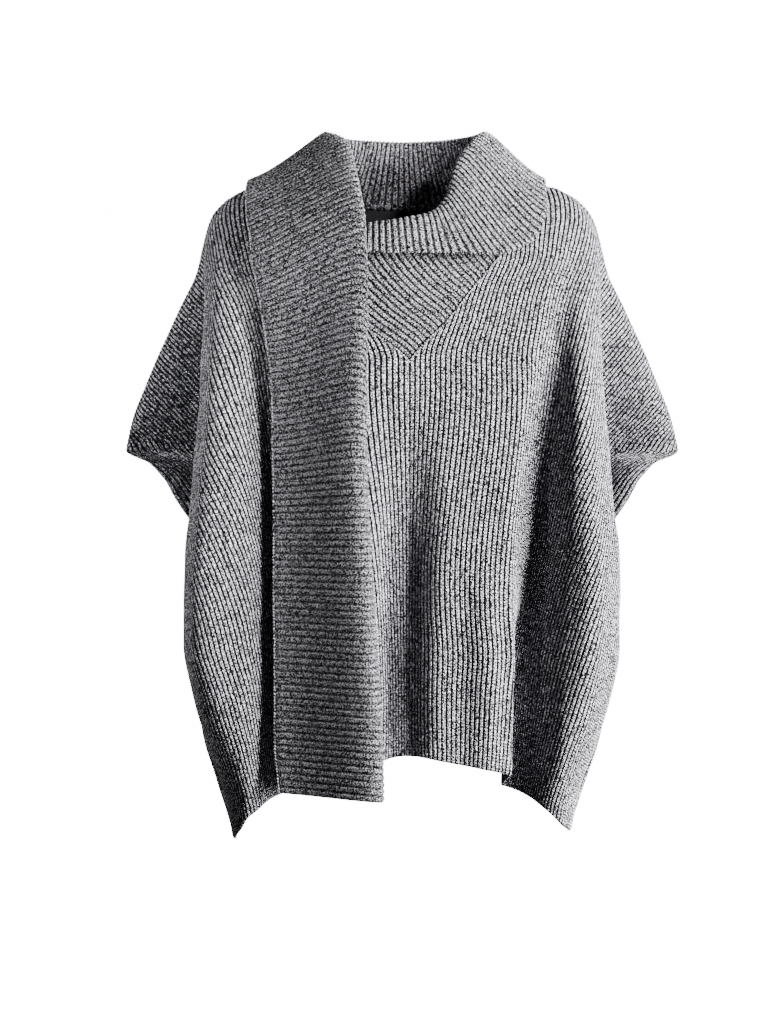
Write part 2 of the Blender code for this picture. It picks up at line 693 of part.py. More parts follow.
for old in list(bpy.data.objects):
    bpy.data.objects.remove(old, do_unlink=True)
bpy.context.scene.collection.children.link(bpy.data.collections.new(NAME))

for panel_name in ("front_panel", "back_panel"):
    build_wall(panel_name, panel_grid(panel_name, PANEL_ROWS[panel_name]), YARN_GREY)
build_wall("collar_inset", inset_grid(INSET_RIBS, INSET_ROWS), YARN_GREY)
build_wall("collar_roll", strip_grid("collar_roll"), YARN_GREY)
build_wall("scarf_end", strip_grid("scarf_end"), YARN_GREY)
build_label()
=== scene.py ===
import bmesh
import bpy
import numpy as np
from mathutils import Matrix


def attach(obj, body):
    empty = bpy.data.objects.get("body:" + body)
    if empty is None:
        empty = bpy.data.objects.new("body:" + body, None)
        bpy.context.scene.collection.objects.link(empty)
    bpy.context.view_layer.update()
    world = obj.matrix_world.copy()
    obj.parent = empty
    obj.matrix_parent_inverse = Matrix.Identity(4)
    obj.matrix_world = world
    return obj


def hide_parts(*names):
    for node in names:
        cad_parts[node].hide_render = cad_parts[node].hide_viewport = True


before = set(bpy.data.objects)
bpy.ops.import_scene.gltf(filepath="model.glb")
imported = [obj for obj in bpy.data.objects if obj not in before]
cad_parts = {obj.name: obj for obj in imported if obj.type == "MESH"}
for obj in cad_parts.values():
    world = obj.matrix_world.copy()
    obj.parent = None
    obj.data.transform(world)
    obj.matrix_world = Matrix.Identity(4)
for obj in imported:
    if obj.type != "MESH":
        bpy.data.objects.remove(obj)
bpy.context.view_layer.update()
bpy.ops.object.select_all(action="DESELECT")

# ---------------------------------------------------------------- studio
# A white paper bowl, its floor as far down as under someone who wears the sweater. To the lens its
# paper glows white, and it throws next to no light back. The key light stands well to the right, and
# two weak, narrow cards light the left side and the inside of the collar.
PAPER_GLOW_TO_LENS, PAPER_GLOW_TO_CLOTH, AIR_GLOW = 16.0, 0.01, 0.01
FLOOR, BOWL_RADIUS, BOWL_HEIGHT, BOWL_CORNER = -1.42, 9.0, 6.0, 2.0
bpy.ops.mesh.primitive_cylinder_add(
    vertices=96, radius=BOWL_RADIUS, depth=BOWL_HEIGHT, location=(0, 0, FLOOR + BOWL_HEIGHT / 2)
)
bpy.ops.object.transform_apply()
bowl = bpy.context.object
bowl.name = "paper_bowl"
mesh = bmesh.new()
mesh.from_mesh(bowl.data)
lid = [face for face in mesh.faces if face.normal.z > 0.9]
bmesh.ops.delete(mesh, geom=lid, context="FACES_ONLY")
rim = [edge for edge in mesh.edges if edge.is_manifold and max(v.co.z for v in edge.verts) < FLOOR + 0.1]
bmesh.ops.bevel(mesh, geom=rim, offset=BOWL_CORNER, segments=12, profile=0.5, affect="EDGES")
bmesh.ops.reverse_faces(mesh, faces=mesh.faces)
mesh.to_mesh(bowl.data)
mesh.free()
bpy.ops.object.shade_smooth()
paper = bpy.data.materials.new("pale_paper")
paper.use_nodes = True
seen = paper.node_tree.nodes.new("ShaderNodeLightPath").outputs["Is Camera Ray"]
glow = paper.node_tree.nodes.new("ShaderNodeMapRange")
glow.inputs["To Min"].default_value = PAPER_GLOW_TO_CLOTH
glow.inputs["To Max"].default_value = PAPER_GLOW_TO_LENS
paper.node_tree.links.new(seen, glow.inputs["Value"])
shader = paper.node_tree.nodes["Principled BSDF"]
paper.node_tree.links.new(glow.outputs["Result"], shader.inputs["Emission Color"])
shader.inputs["Emission Strength"].default_value = 1.0
shader.inputs["Base Color"].default_value = (0.03, 0.03, 0.03, 1)
shader.inputs["Roughness"].default_value = 0.9
bowl.data.materials.append(paper)

world = bpy.data.worlds.new("studio_glow")
world.use_nodes = True
world.node_tree.nodes["Background"].inputs["Color"].default_value = (1, 1, 1, 1)
world.node_tree.nodes["Background"].inputs["Strength"].default_value = AIR_GLOW
bpy.context.scene.world = world


def soft_box(name, place, aim, size, power, spread=np.pi):
    """A lamp with a square face, in metres and watts, that points from its place at its aim."""
    light = bpy.data.lights.new(name, "AREA")
    light.shape = "RECTANGLE"
    light.size, light.size_y = size
    light.energy = power
    light.spread = spread
    lamp = bpy.data.objects.new(name, light)
    bpy.context.scene.collection.objects.link(lamp)
    lamp.location = place
    toward = np.array(aim) - np.array(place)
    flat = np.hypot(toward[0], toward[1])
    lamp.rotation_euler = (np.pi / 2 + np.arctan2(toward[2], flat), 0, np.arctan2(-toward[0], toward[1]))


soft_box("key_light", (2.9, -1.5, 0.3), (0, 0, -0.35), (1.9, 1.6), 1230)
soft_box("left_card", (-1.3, -1.1, 0.4), (-0.25, -0.03, -0.17), (0.3, 0.5), 1.2, spread=0.35)
soft_box("neck_card", (0.8, -1.25, 0.6), (-0.02, 0.06, 0.03), (0.12, 0.12), 0.12, spread=0.16)

# The sweater hangs 18 px right of the middle of the view, and the lens stands 3.5 m in front of it.
WIDTH, HEIGHT, MM_PER_PX = 768, 1024, 1.06
MIDDLE_PX, EYE_LEVEL_PX = 402, 473.6
DISTANCE, FRONT_OF_SWEATER, EYE = 3.5, 0.06, -0.29
LENS_SENSOR = 36
lens_view = bpy.data.cameras.new("lens_view")
lens_view.sensor_fit = "HORIZONTAL"
lens_view.sensor_width = LENS_SENSOR
lens_view.lens = LENS_SENSOR * DISTANCE / (WIDTH * MM_PER_PX / 1000)
lens_view.shift_x = -(MIDDLE_PX - WIDTH / 2) / WIDTH
lens_view.shift_y = (EYE_LEVEL_PX - HEIGHT / 2) / WIDTH
camera = bpy.data.objects.new("lens_view", lens_view)
bpy.context.scene.collection.objects.link(camera)
camera.location = (0, -DISTANCE - FRONT_OF_SWEATER, EYE)
camera.rotation_euler = (np.pi / 2, 0, 0)
bpy.context.scene.camera = camera

# ---------------------------------------------------------------- front and back panels
# Each panel is one flat knitted piece in rib: its centre hangs straight down from the neck, and its
# ribs run out over the shoulders and slant down the sleeves to the cuffs. The two are linked along the
# over-arms and the side seams. All lengths are millimetres, and go into the meshes as metres.
MM = 0.001
# Right and left in the tables' names are as seen from in front.
NECK_RIB, HEM_RIB, CUFF_RIB = 64.0, 393.0, 418.0
SECTION_SQUARE = 3.0
SECTION_SAMPLES = 72
FOLD_SAMPLES = 30
COLUMN_SAMPLES = 160
COLUMN_CROWDING = 1.5
EDGE_HANDLE = 0.45
VALLEY_HANDLE = 0.35
SEAM_HANDLE = 0.4
LEVEL_BELOW_NECK = 40.0
OVER_ARM = [
    # height, across, depth, rib, heading
    (22, 112, 5, 64, 90),
    (20.5, 140, 5, 86, 90),
    (18, 165, 6, 108, 90),
    (12, 178, 6, 121, 90),
    (5, 189, 6, 134, 90),
    (-8, 201, 5, 151, 90),
    (-21, 208, 4, 165, 90),
    (-47, 215, 3, 191, 90),
    (-73, 221, 1, 217, 90),
    (-112, 239, 0, 259, 90),
    (-163, 262, -3, 315, 90),
    (-202, 278, -4, 357, 90),
    (-228, 288, -5, 385, 90),
    (-265, 296, -6, 418, 90),
]
CUFF_FRONT = [
    (-279, 271, -30, 418, 40),
    (-294, 255, -40, 418, 10),
    (-316, 242, -42, 418, 0),
    (-338, 228, -34, 418, 10),
]
CUFF_BACK = [
    (-279, 273, 30, 418, 140),
    (-294, 258, 46, 418, 170),
    (-316, 245, 54, 418, 180),
    (-338, 230, 48, 418, 170),
]
SIDE_SEAM = [
    (-368, 196, 10, 418, 70),
    (-420, 206, 20, 414, 90),
    (-500, 213, 22, 406, 90),
    (-580, 199, 8, 399, 90),
    (-674, 180, 0, 393, 90),
]
FRONT_EDGE = [
    # height, across, depth, rib
    (22, 112, 4, 64),
    (20.5, 138, 0, 84),
    (18, 161, -4, 104),
    (12, 173, -8, 116),
    (5, 183, -11, 127),
    (-8, 194, -15, 141),
    (-21, 202, -19, 152),
    (-47, 209, -28, 171),
    (-76, 210, -40, 183),
    (-114, 209, -52, 197),
    (-165, 211, -62, 212),
    (-216, 213, -68, 229),
    (-264, 217, -73, 248),
    (-300, 220, -76, 266),
    (-331, 223, -77, 282),
    (-368, 228, -74, 302),
    (-420, 230, -66, 328),
    (-471, 230, -56, 347),
    (-534, 219, -42, 366),
    (-585, 203, -28, 377),
    (-636, 187, -12, 386),
    (-674, 180, -2, 392.5),
]
FRONT_VALLEY_LEFT = [
    (22, 112, 4.5, 64),
    (5, 186, -3, 130),
    (-21, 205, -8, 158),
    (-51, 209, -14, 182),
    (-76, 206, -18, 202),
    (-114, 198, -18, 226),
    (-165, 188, -10, 257),
    (-216, 180, -2, 285),
    (-264, 171, 6, 312),
    (-331, 160, 20, 352),
    (-368, 158, 24, 370),
    (-420, 178, 12, 384),
    (-471, 208, 0, 390),
    (-534, 216, -12, 391),
    (-674, 180, -1, 392.8),
]
FRONT_VALLEY_RIGHT = [
    (22, 112, 4.5, 64),
    (5, 186, -3, 130),
    (-21, 205, -8, 158),
    (-51, 209, -14, 182),
    (-76, 208, -22, 200),
    (-114, 203, -26, 223),
    (-165, 196, -22, 254),
    (-216, 188, -14, 282),
    (-264, 178, -4, 312),
    (-331, 164, 18, 352),
    (-368, 160, 22, 370),
    (-420, 178, 12, 384),
    (-471, 208, 0, 390),
    (-534, 216, -12, 391),
    (-674, 180, -1, 392.8),
]
BACK_EDGE = [
    (22, 112, 6, 64),
    (20.5, 138, 10, 84),
    (18, 161, 13, 104),
    (12, 173, 16, 116),
    (5, 183, 19, 127),
    (-8, 195, 22, 141),
    (-21, 203, 26, 152),
    (-47, 208, 34, 171),
    (-76, 208, 42, 182),
    (-114, 207, 54, 197),
    (-165, 207, 64, 212),
    (-216, 208, 70, 229),
    (-264, 211, 75, 248),
    (-300, 213, 78, 266),
    (-331, 215, 79, 282),
    (-368, 219, 77, 302),
    (-420, 221, 70, 328),
    (-471, 221, 62, 347),
    (-534, 211, 48, 366),
    (-585, 197, 34, 377),
    (-636, 184, 18, 386),
    (-674, 180, 4, 392.5),
]
BACK_VALLEY = [
    (22, 112, 5.5, 64),
    (5, 186, 13, 130),
    (-21, 205, 16, 158),
    (-51, 209, 20, 182),
    (-76, 206, 26, 201),
    (-114, 200, 30, 225),
    (-165, 192, 32, 255),
    (-216, 186, 34, 282),
    (-264, 182, 38, 310),
    (-331, 184, 46, 346),
    (-368, 190, 48, 364),
    (-420, 206, 46, 378),
    (-500, 214, 36, 388),
    (-580, 200, 22, 392),
    (-674, 180, 2, 392.8),
]
NECK_RIGHT = [
    # height, across, depth on the centre line, rib
    (22, 112, 5, 64),
    (12, 112, -22, 62),
    (0, 111, -46, 60.5),
    (-20, 109, -66, 57.5),
    (-56, 104, -86, 52),
    (-92, 74, -98, 38),
    (-128, 44, -108, 23),
    (-172, 0, -115, 0),
]
NECK_LEFT = [
    (22, 112, 5, 64),
    (12, 112, -22, 62),
    (0, 111, -46, 60.5),
    (-40, 108, -76, 55),
    (-70, 99, -92, 49),
    (-104, 76, -102, 39),
    (-136, 44, -110, 23),
    (-172, 0, -115, 0),
]
FRONT_CENTRE = [
    (-230, 0, -121, 0),
    (-300, 0, -123, 0),
    (-420, 0, -121, 0),
    (-520, 0, -122, 0),
    (-674, 0, -124, 0),
]
NECK_BACK = [
    (22, 112, 20, 64),
    (12, 98, 50, 55),
    (6, 62, 68, 36),
    (2, 0, 72, 0),
]
BACK_CENTRE = [
    (-30, 0, 80, 0),
    (-76, 0, 88, 0),
    (-165, 0, 95, 0),
    (-264, 0, 97, 0),
    (-420, 0, 95, 0),
    (-540, 0, 97, 0),
    (-674, 0, 100, 0),
]
# The V's point lies a little to the wearer's left.
CENTRE_SHIFT = [(22, 0), (0, 2), (-60, 8), (-674, 8)]

# How much closer the ribs lie in a trough, for each millimetre of its depth.
BUNCHING = 0.02

# Each fold is a trough that follows its own path down the panel. inner is its half width towards the
# centre and outer its half width towards the side; tuck is how far its bottom is drawn in under the
# cloth nearer the centre. A depth below nothing is a ridge.
FOLDS = {
    "front_right": [
        [
            # height, across, depth, inner, outer, tuck
            (-40, 185, 0, 20, 22, 0),
            (-90, 174, 7, 22, 26, 0),
            (-160, 161, 15, 26, 34, 0),
            (-255, 148, 26, 32, 38, 0),
            (-340, 141, 36, 32, 40, 0),
            (-424, 136, 44, 24, 42, 8),
            (-490, 131, 48, 16, 44, 18),
            (-674, 126, 48, 15, 44, 20),
        ],
        [
            (-205, 4, 0, 40, 46, 0),
            (-291, 4, 15, 40, 46, 0),
            (-392, 0, 28, 40, 46, 0),
            (-498, -8, 32, 40, 48, 0),
            (-600, -8, 24, 40, 48, 0),
        ],
        [(-360, 90, 0, 34, 18, 0), (-460, 92, -8, 34, 18, 0), (-674, 92, -9, 34, 18, 0)],
        [
            (-60, 180, 0, 26, 20, 0),
            (-165, 190, -8, 30, 21, 0),
            (-264, 194, -16, 34, 23, 0),
            (-424, 202, -22, 38, 28, 0),
            (-534, 192, -18, 36, 26, 0),
            (-585, 178, -12, 34, 24, 0),
            (-636, 164, -4, 32, 22, 0),
        ],
    ],
    "front_left": [
        [
            (0, 158, 0, 16, 20, 0),
            (-70, 150, 8, 24, 30, 0),
            (-160, 140, 20, 44, 40, 0),
            (-255, 132, 30, 60, 42, 0),
            (-424, 127, 36, 62, 44, 0),
            (-674, 123, 38, 62, 44, 0),
        ],
        [
            (-205, -4, 0, 46, 40, 0),
            (-291, -4, 15, 46, 40, 0),
            (-392, 0, 28, 46, 40, 0),
            (-498, 8, 32, 48, 40, 0),
            (-600, 8, 24, 48, 40, 0),
        ],
        [
            (-30, 186, 0, 36, 14, 0),
            (-90, 194, -8, 42, 14, 0),
            (-165, 196, -15, 50, 14, 0),
            (-264, 202, -19, 58, 14, 0),
            (-331, 209, -20, 60, 14, 0),
            (-424, 216, -20, 60, 14, 0),
            (-471, 216, -20, 60, 14, 0),
            (-534, 205, -17, 56, 14, 0),
            (-585, 189, -11, 52, 14, 0),
            (-636, 173, -4, 50, 14, 0),
        ],
    ],
    "back_right": [
        [
            (-40, 150, 0, 24, 24, 0),
            (-200, 140, 14, 26, 26, 0),
            (-420, 132, 26, 26, 28, 0),
            (-674, 126, 30, 26, 30, 0),
        ],
        [(-260, 48, 0, 28, 28, 0), (-440, 46, 12, 30, 30, 0), (-674, 44, 16, 30, 30, 0)],
    ],
    "back_left": [
        [
            (-60, 156, 0, 24, 24, 0),
            (-230, 146, 16, 26, 26, 0),
            (-430, 138, 30, 26, 28, 0),
            (-674, 130, 34, 26, 30, 0),
        ],
        [(-320, 60, 0, 28, 28, 0), (-460, 60, 10, 30, 30, 0), (-674, 58, 14, 30, 30, 0)],
    ],
}
HEMS = {
    # rib, height
    "front_panel": [
        (0, -586),
        (8, -586),
        (60, -594),
        (97, -601),
        (124, -607),
        (182, -618),
        (258, -632),
        (290, -645),
        (315, -661),
        (357, -671),
        (393, -674),
    ],
    "back_panel": [(0, -572), (8, -572), (92, -580), (156, -594), (253, -618), (321, -644), (393, -674)],
}
# The wearer's right side hangs lower, from this height down.
LOW_SIDE = (-480, 9.0)
SIDE_OF_PANEL = {
    "front_right": (NECK_RIGHT + FRONT_CENTRE, FRONT_EDGE, FRONT_VALLEY_RIGHT, CUFF_FRONT, 1),
    "front_left": (NECK_LEFT + FRONT_CENTRE, FRONT_EDGE, FRONT_VALLEY_LEFT, CUFF_FRONT, 1),
    "back_right": (NECK_BACK + BACK_CENTRE, BACK_EDGE, BACK_VALLEY, CUFF_BACK, -1),
    "back_left": (NECK_BACK + BACK_CENTRE, BACK_EDGE, BACK_VALLEY, CUFF_BACK, -1),
}


def smooth(table, column, at):
    """Reads one column of a table at the given keys, without overshooting between its rows."""
    rows = sorted(table)
    keys = np.array([row[0] for row in rows], float)
    values = np.array([row[column] for row in rows], float)
    widths = np.diff(keys)
    slopes = np.diff(values) / widths
    ends = np.zeros_like(values)
    ends[0], ends[-1] = slopes[0], slopes[-1]
    for i in range(1, len(keys) - 1):
        before, after = slopes[i - 1], slopes[i]
        if before * after > 0:
            near, far = 2 * widths[i] + widths[i - 1], widths[i] + 2 * widths[i - 1]
            ends[i] = (near + far) / (near / before + far / after)
    at = np.clip(at, keys[0], keys[-1])
    i = np.clip(np.searchsorted(keys, at) - 1, 0, len(keys) - 2)
    width = widths[i]
    s = (at - keys[i]) / width
    hold = values[i] * (1 + 2 * s) * (1 - s) ** 2 + values[i + 1] * s * s * (3 - 2 * s)
    lean = ends[i] * s * (1 - s) ** 2 + ends[i + 1] * s * s * (s - 1)
    return hold + width * lean


def bezier(p0, p1, p2, p3, steps):
    """Cubic curves, one for each row of the four control arrays."""
    s = np.linspace(0, 1, steps)[None, :, None]
    p0, p1, p2, p3 = (p[:, None, :] for p in (p0, p1, p2, p3))
    return p0 * (1 - s) ** 3 + 3 * p1 * s * (1 - s) ** 2 + 3 * p2 * s * s * (1 - s) + p3 * s**3


def along(curves, part, weights=1.0):
    """The point on each curve at that part of its length, which the weights may count more or less."""
    lengths = np.linalg.norm(np.diff(curves, axis=1), axis=2) * weights
    run = np.concatenate([np.zeros((len(curves), 1)), np.cumsum(lengths, axis=1)], axis=1)
    target = np.clip(part, 0, 1) * run[:, -1]
    i = np.clip((run < target[:, None]).sum(axis=1) - 1, 0, curves.shape[1] - 2)
    row = np.arange(len(curves))
    step = np.maximum(run[row, i + 1] - run[row, i], 1e-9)
    s = ((target - run[row, i]) / step)[:, None]
    return curves[row, i] * (1 - s) + curves[row, i + 1] * s


def unit(vectors):
    """The same directions, each with a length of 1."""
    return vectors / np.maximum(np.linalg.norm(vectors, axis=-1, keepdims=True), 1e-9)


def section_points(side, rib, height):
    """Points of a panel's half at these ribs and heights, with across measured away from the centre."""
    centre, edge, valley, cuff, facing = SIDE_OF_PANEL[side]
    outer = OVER_ARM + cuff + SIDE_SEAM
    start, depth, start_rib = (smooth(centre, k, height) for k in (1, 2, 3))
    edge_x, edge_y, edge_rib = (smooth(edge, k, height) for k in (1, 2, 3))
    valley_x, valley_y, valley_rib = (smooth(valley, k, height) for k in (1, 2, 3))
    outer_x, outer_y, outer_rib, heading = (smooth(outer, k, height) for k in (1, 2, 3, 4))
    shift = smooth(CENTRE_SHIFT, 1, height) * (1 if side.endswith("right") else -1)
    start = np.minimum(start + shift * (1 - start / OVER_ARM[0][1]), edge_x - 0.001)

    first = np.arcsin(np.clip(np.abs(start / edge_x), 0, 1) ** (SECTION_SQUARE / 2)) * np.sign(start)
    turn = first[:, None] + (np.pi / 2 - first[:, None]) * np.linspace(0, 1, SECTION_SAMPLES)[None]
    x = edge_x[:, None] * np.sign(np.sin(turn)) * np.abs(np.sin(turn)) ** (2 / SECTION_SQUARE)
    y = edge_y[:, None] + (depth - edge_y)[:, None] * np.abs(np.cos(turn)) ** (2 / SECTION_SQUARE)
    section_x = x
    bunched = np.ones_like(x)
    for fold in FOLDS[side]:
        middle, deep, inner, outer_half, tuck = (
            smooth(fold, k, height)[:, None] for k in (1, 2, 3, 4, 5)
        )
        deep, tuck = (np.where(height[:, None] > fold[0][0], 0, value) for value in (deep, tuck))
        away = section_x - middle
        away = np.clip(away / np.where(away < 0, inner, outer_half), -1, 1)
        dip = 0.5 * (1 + np.cos(np.pi * away))
        x = x - tuck * dip
        y = y + facing * deep * dip
        bunched = bunched + BUNCHING * np.maximum(deep, 0) * dip
    body = np.stack([x, y], axis=2)

    edge_at = np.stack([edge_x, edge_y], axis=1)
    valley_at = np.stack([valley_x, valley_y], axis=1)
    outer_at = np.stack([outer_x, outer_y], axis=1)
    inward = np.stack([np.zeros_like(height), np.full_like(height, facing)], axis=1)
    through = unit(outer_at - edge_at)
    arrive = facing * np.stack([np.cos(np.radians(heading)), np.sin(np.radians(heading))], axis=1)
    to_valley = np.linalg.norm(valley_at - edge_at, axis=1, keepdims=True)
    to_outer = np.linalg.norm(outer_at - valley_at, axis=1, keepdims=True)
    leave_edge = edge_at + inward * to_valley * EDGE_HANDLE
    reach_valley = valley_at - through * to_valley * VALLEY_HANDLE
    back_in = bezier(edge_at, leave_edge, reach_valley, valley_at, FOLD_SAMPLES)
    leave_valley = valley_at + through * to_outer * VALLEY_HANDLE
    reach_seam = outer_at - arrive * to_outer * SEAM_HANDLE
    out_again = bezier(valley_at, leave_valley, reach_seam, outer_at, FOLD_SAMPLES)

    on_body = along(body, (rib - start_rib) / np.maximum(edge_rib - start_rib, 1e-6), bunched[:, 1:])
    on_fold = along(back_in, (rib - edge_rib) / np.maximum(valley_rib - edge_rib, 1e-6))
    on_sleeve = along(out_again, (rib - valley_rib) / np.maximum(outer_rib - valley_rib, 1e-6))
    past_edge = np.where((rib <= valley_rib)[:, None], on_fold, on_sleeve)
    flat = np.where((rib <= edge_rib)[:, None], on_body, past_edge)
    return np.column_stack([flat, height])


def column_ends(panel, side, rib):
    """The heights at which a rib's column starts and ends."""
    centre = SIDE_OF_PANEL[side][0]
    neck = sorted((row[3], row[0]) for row in centre if row[3] > 0)
    neck.insert(0, (0, max(row[0] for row in centre if row[3] == 0)))
    arm = sorted((row[3], row[0]) for row in OVER_ARM)
    seam = sorted((row[3], row[0]) for row in SIDE_SEAM)
    away = abs(rib)
    rows = neck if away < NECK_RIB else arm
    top = np.interp(away, [row[0] for row in rows], [row[1] for row in rows])
    if away < HEM_RIB:
        return top, float(smooth(HEMS[panel], 1, np.array([away]))[0])
    return top, np.interp(away, [row[0] for row in seam], [row[1] for row in seam])


def column(panel, rib, parts, guide=None):
    """One rib's line down a panel, as points at those parts of its length.

    Points of the ribs that start on the neck's edge lie level with those of the guide's column.
    """
    face = "front" if panel == "front_panel" else "back"
    side = face + ("_right" if rib >= 0 else "_left")
    top, bottom = column_ends(panel, side, rib)
    height = top + (bottom - top) * np.linspace(0, 1, COLUMN_SAMPLES) ** COLUMN_CROWDING
    line = section_points(side, np.full(COLUMN_SAMPLES, abs(rib)), height)
    if rib < 0:
        line[:, 0] *= -1
        low = np.clip((LOW_SIDE[0] - height) / (LOW_SIDE[0] - SIDE_SEAM[-1][0]), 0, 1)
        line[:, 2] -= LOW_SIDE[1] * low**2 * min(1, -rib / HEM_RIB)
    if guide is None:
        return along(np.repeat(line[None], len(parts), axis=0), parts)
    lowest = column_ends(panel, side, 0)[0] - LEVEL_BELOW_NECK
    first = int(np.argmax(guide < lowest))
    upper = line[0, 2] + (guide - guide[0]) * (guide[first] - line[0, 2]) / (guide[first] - guide[0])
    lower = guide + (line[-1, 2] - guide[-1]) * (guide - guide[first]) / (guide[-1] - guide[first])
    level = np.where(np.arange(len(parts)) < first, upper, lower)
    return np.stack([np.interp(-level, -line[:, 2], line[:, k]) for k in range(3)], axis=1)


def panel_points(panel, ribs, parts):
    """The middle line of each rib place of a panel, as rows by columns."""
    guides = [column(panel, np.copysign(NECK_RIB, side), parts)[:, 2] for side in (-1, 1)]
    columns = [
        column(panel, rib, parts, guides[int(rib >= 0)] if abs(rib) < NECK_RIB else None) for rib in ribs
    ]
    return np.stack(columns, axis=1)


def outward(points, sign):
    """Unit normals of a grid of points."""
    down, across = np.gradient(points, axis=(0, 1))
    return unit(sign * np.cross(across, down))


def waves(points, size):
    """A soft unevenness that the hand gives to hung cloth, up to about 1."""
    x, y, z = np.moveaxis(points / size, -1, 0)
    return (
        np.sin(1.0 * x + 0.35 * z + 0.6)
        + np.sin(0.6 * x - 0.8 * z + 0.3 * y + 2.1)
        + 0.7 * np.sin(1.7 * x + 0.9 * z - 0.4 * y + 4.0)
        + 0.5 * np.sin(-1.2 * x + 1.9 * z + 1.3)
    ) / 3.2


RIDGE_PLACES = (0.0, 0.14, 0.36, 0.64, 0.86)
RIDGE_SHARES = (0.0, 0.62, 1.0, 1.0, 0.62)
EDGE_THIN = (0.4, 0.8)
RIDGE_EVEN, RIDGE_UNEVEN, RIDGE_WAVES = 0.92, 0.16, 9.0


def knit_wall(name, points, normals, per_rib, shares, rise, thick, course):
    """A knitted wall: a ribbed face, a plainer back of one column a rib, and a rolled rim round both.

    Its UV map counts ribs across and courses, the rows of stitches, down.
    """
    rows, columns = points.shape[:2]
    edge = np.ones((rows, columns))
    for k, share in enumerate(EDGE_THIN):
        edge[[k, -1 - k], :] = np.minimum(edge[[k, -1 - k], :], share)
        edge[:, [k, -1 - k]] = np.minimum(edge[:, [k, -1 - k]], share)
    edge = edge[..., None]
    ridge = np.resize(shares, columns)[None, :, None] * rise
    ridge = ridge * (RIDGE_EVEN + RIDGE_UNEVEN * waves(points, RIDGE_WAVES)[..., None])
    face = points + normals * (ridge * edge - thick / 2 * (1 - edge))
    back = (points - normals * thick * (1 + edge) / 2)[:, ::per_rib]
    bpy.ops.mesh.primitive_grid_add(x_subdivisions=back.shape[1] - 1, y_subdivisions=rows - 1)
    lining = bpy.context.object
    lining.data.vertices.foreach_set("co", (back * MM).ravel())
    bpy.ops.mesh.primitive_grid_add(x_subdivisions=columns - 1, y_subdivisions=rows - 1)
    piece = bpy.context.object
    piece.data.vertices.foreach_set("co", (face * MM).ravel())
    lining.select_set(True)
    bpy.ops.object.join()
    piece.name = piece.data.name = name
    piece.location = (0, 0, 0)

    mesh = bmesh.new()
    mesh.from_mesh(piece.data)
    mesh.verts.ensure_lookup_table()
    outer = np.array(mesh.verts[: rows * columns]).reshape(rows, columns)
    inner = np.array(mesh.verts[rows * columns :]).reshape(rows, -1)
    for row in (0, -1):
        for k in range(inner.shape[1] - 1):
            along_rib = list(outer[row, per_rib * k : per_rib * (k + 1) + 1])
            mesh.faces.new(along_rib + [inner[row, k + 1], inner[row, k]])
    for side in (0, -1):
        for k in range(rows - 1):
            mesh.faces.new([outer[k, side], outer[k + 1, side], inner[k + 1, side], inner[k, side]])
    bmesh.ops.recalc_face_normals(mesh, faces=mesh.faces)
    mesh.to_mesh(piece.data)
    mesh.free()

    length = np.concatenate(
        [np.zeros((1, columns)), np.cumsum(np.linalg.norm(np.diff(points, axis=0), axis=2), axis=0)]
    )
    courses = (length - length[-1:]) / course
    ribs = np.broadcast_to(rib_count(columns, per_rib), (rows, columns))
    knit = np.stack([ribs, -courses], axis=2)
    knit = np.concatenate([knit.reshape(-1, 2), knit[:, ::per_rib].reshape(-1, 2)])
    corners = np.zeros(len(piece.data.loops), int)
    piece.data.loops.foreach_get("vertex_index", corners)
    piece.data.uv_layers[0].name = "knit"
    piece.data.uv_layers["knit"].data.foreach_set("uv", knit[corners].ravel())
    bpy.ops.object.shade_smooth()
    return piece


def rib_count(columns, per_rib):
    """How many ribs lie before each column, when the columns crowd at each rib's groove."""
    places = RIDGE_PLACES if per_rib == len(RIDGE_PLACES) else np.arange(per_rib) / per_rib
    return np.arange(columns) // per_rib + np.resize(places, columns)


def shader_node(tree, kind, inputs, **settings):
    """Adds a node, and links or sets its inputs."""
    node = tree.nodes.new(kind)
    for name, value in settings.items():
        setattr(node, name, value)
    for key, value in inputs.items():
        if isinstance(value, bpy.types.NodeSocket):
            tree.links.new(value, node.inputs[key])
        else:
            node.inputs[key].default_value = value
    return node


def reckon(tree, operation, first, second=0.0, third=0.0):
    """Adds one step of arithmetic, and gives its result."""
    node = shader_node(tree, "ShaderNodeMath", {0: first, 1: second, 2: third}, operation=operation)
    return node.outputs[0]


def ramp(tree, value, low, high, to_low=0.0, to_high=1.0):
    """Adds a smooth step from one level to another, as the value goes from low to high."""
    inputs = {"Value": value, "From Min": low, "From Max": high, "To Min": to_low, "To Max": to_high}
    return shader_node(tree, "ShaderNodeMapRange", inputs, interpolation_type="SMOOTHSTEP").outputs[0]


# The stitches: two slanted legs of yarn for each wale and course, with a crease between them.
stitches = bpy.data.node_groups.new("rib_stitches", "ShaderNodeTree")
stitches.interface.new_socket("Knit", in_out="INPUT", socket_type="NodeSocketVector")
stitches.interface.new_socket("Slant", in_out="INPUT", socket_type="NodeSocketFloat")
for socket in ("Height", "Groove", "Leg Tone"):
    stitches.interface.new_socket(socket, in_out="OUTPUT", socket_type="NodeSocketFloat")
given = stitches.nodes.new("NodeGroupInput")
result = stitches.nodes.new("NodeGroupOutput")
apart = shader_node(stitches, "ShaderNodeSeparateXYZ", {0: given.outputs["Knit"]})
wale = apart.outputs["X"]
off_middle = reckon(stitches, "SUBTRACT", reckon(stitches, "FRACT", wale), 0.5)
away = reckon(stitches, "MULTIPLY", reckon(stitches, "ABSOLUTE", off_middle), 2.0)
lean = reckon(stitches, "MULTIPLY", away, given.outputs["Slant"])
rise = reckon(stitches, "SUBTRACT", apart.outputs["Y"], lean)
turn = reckon(stitches, "FRACT", rise)
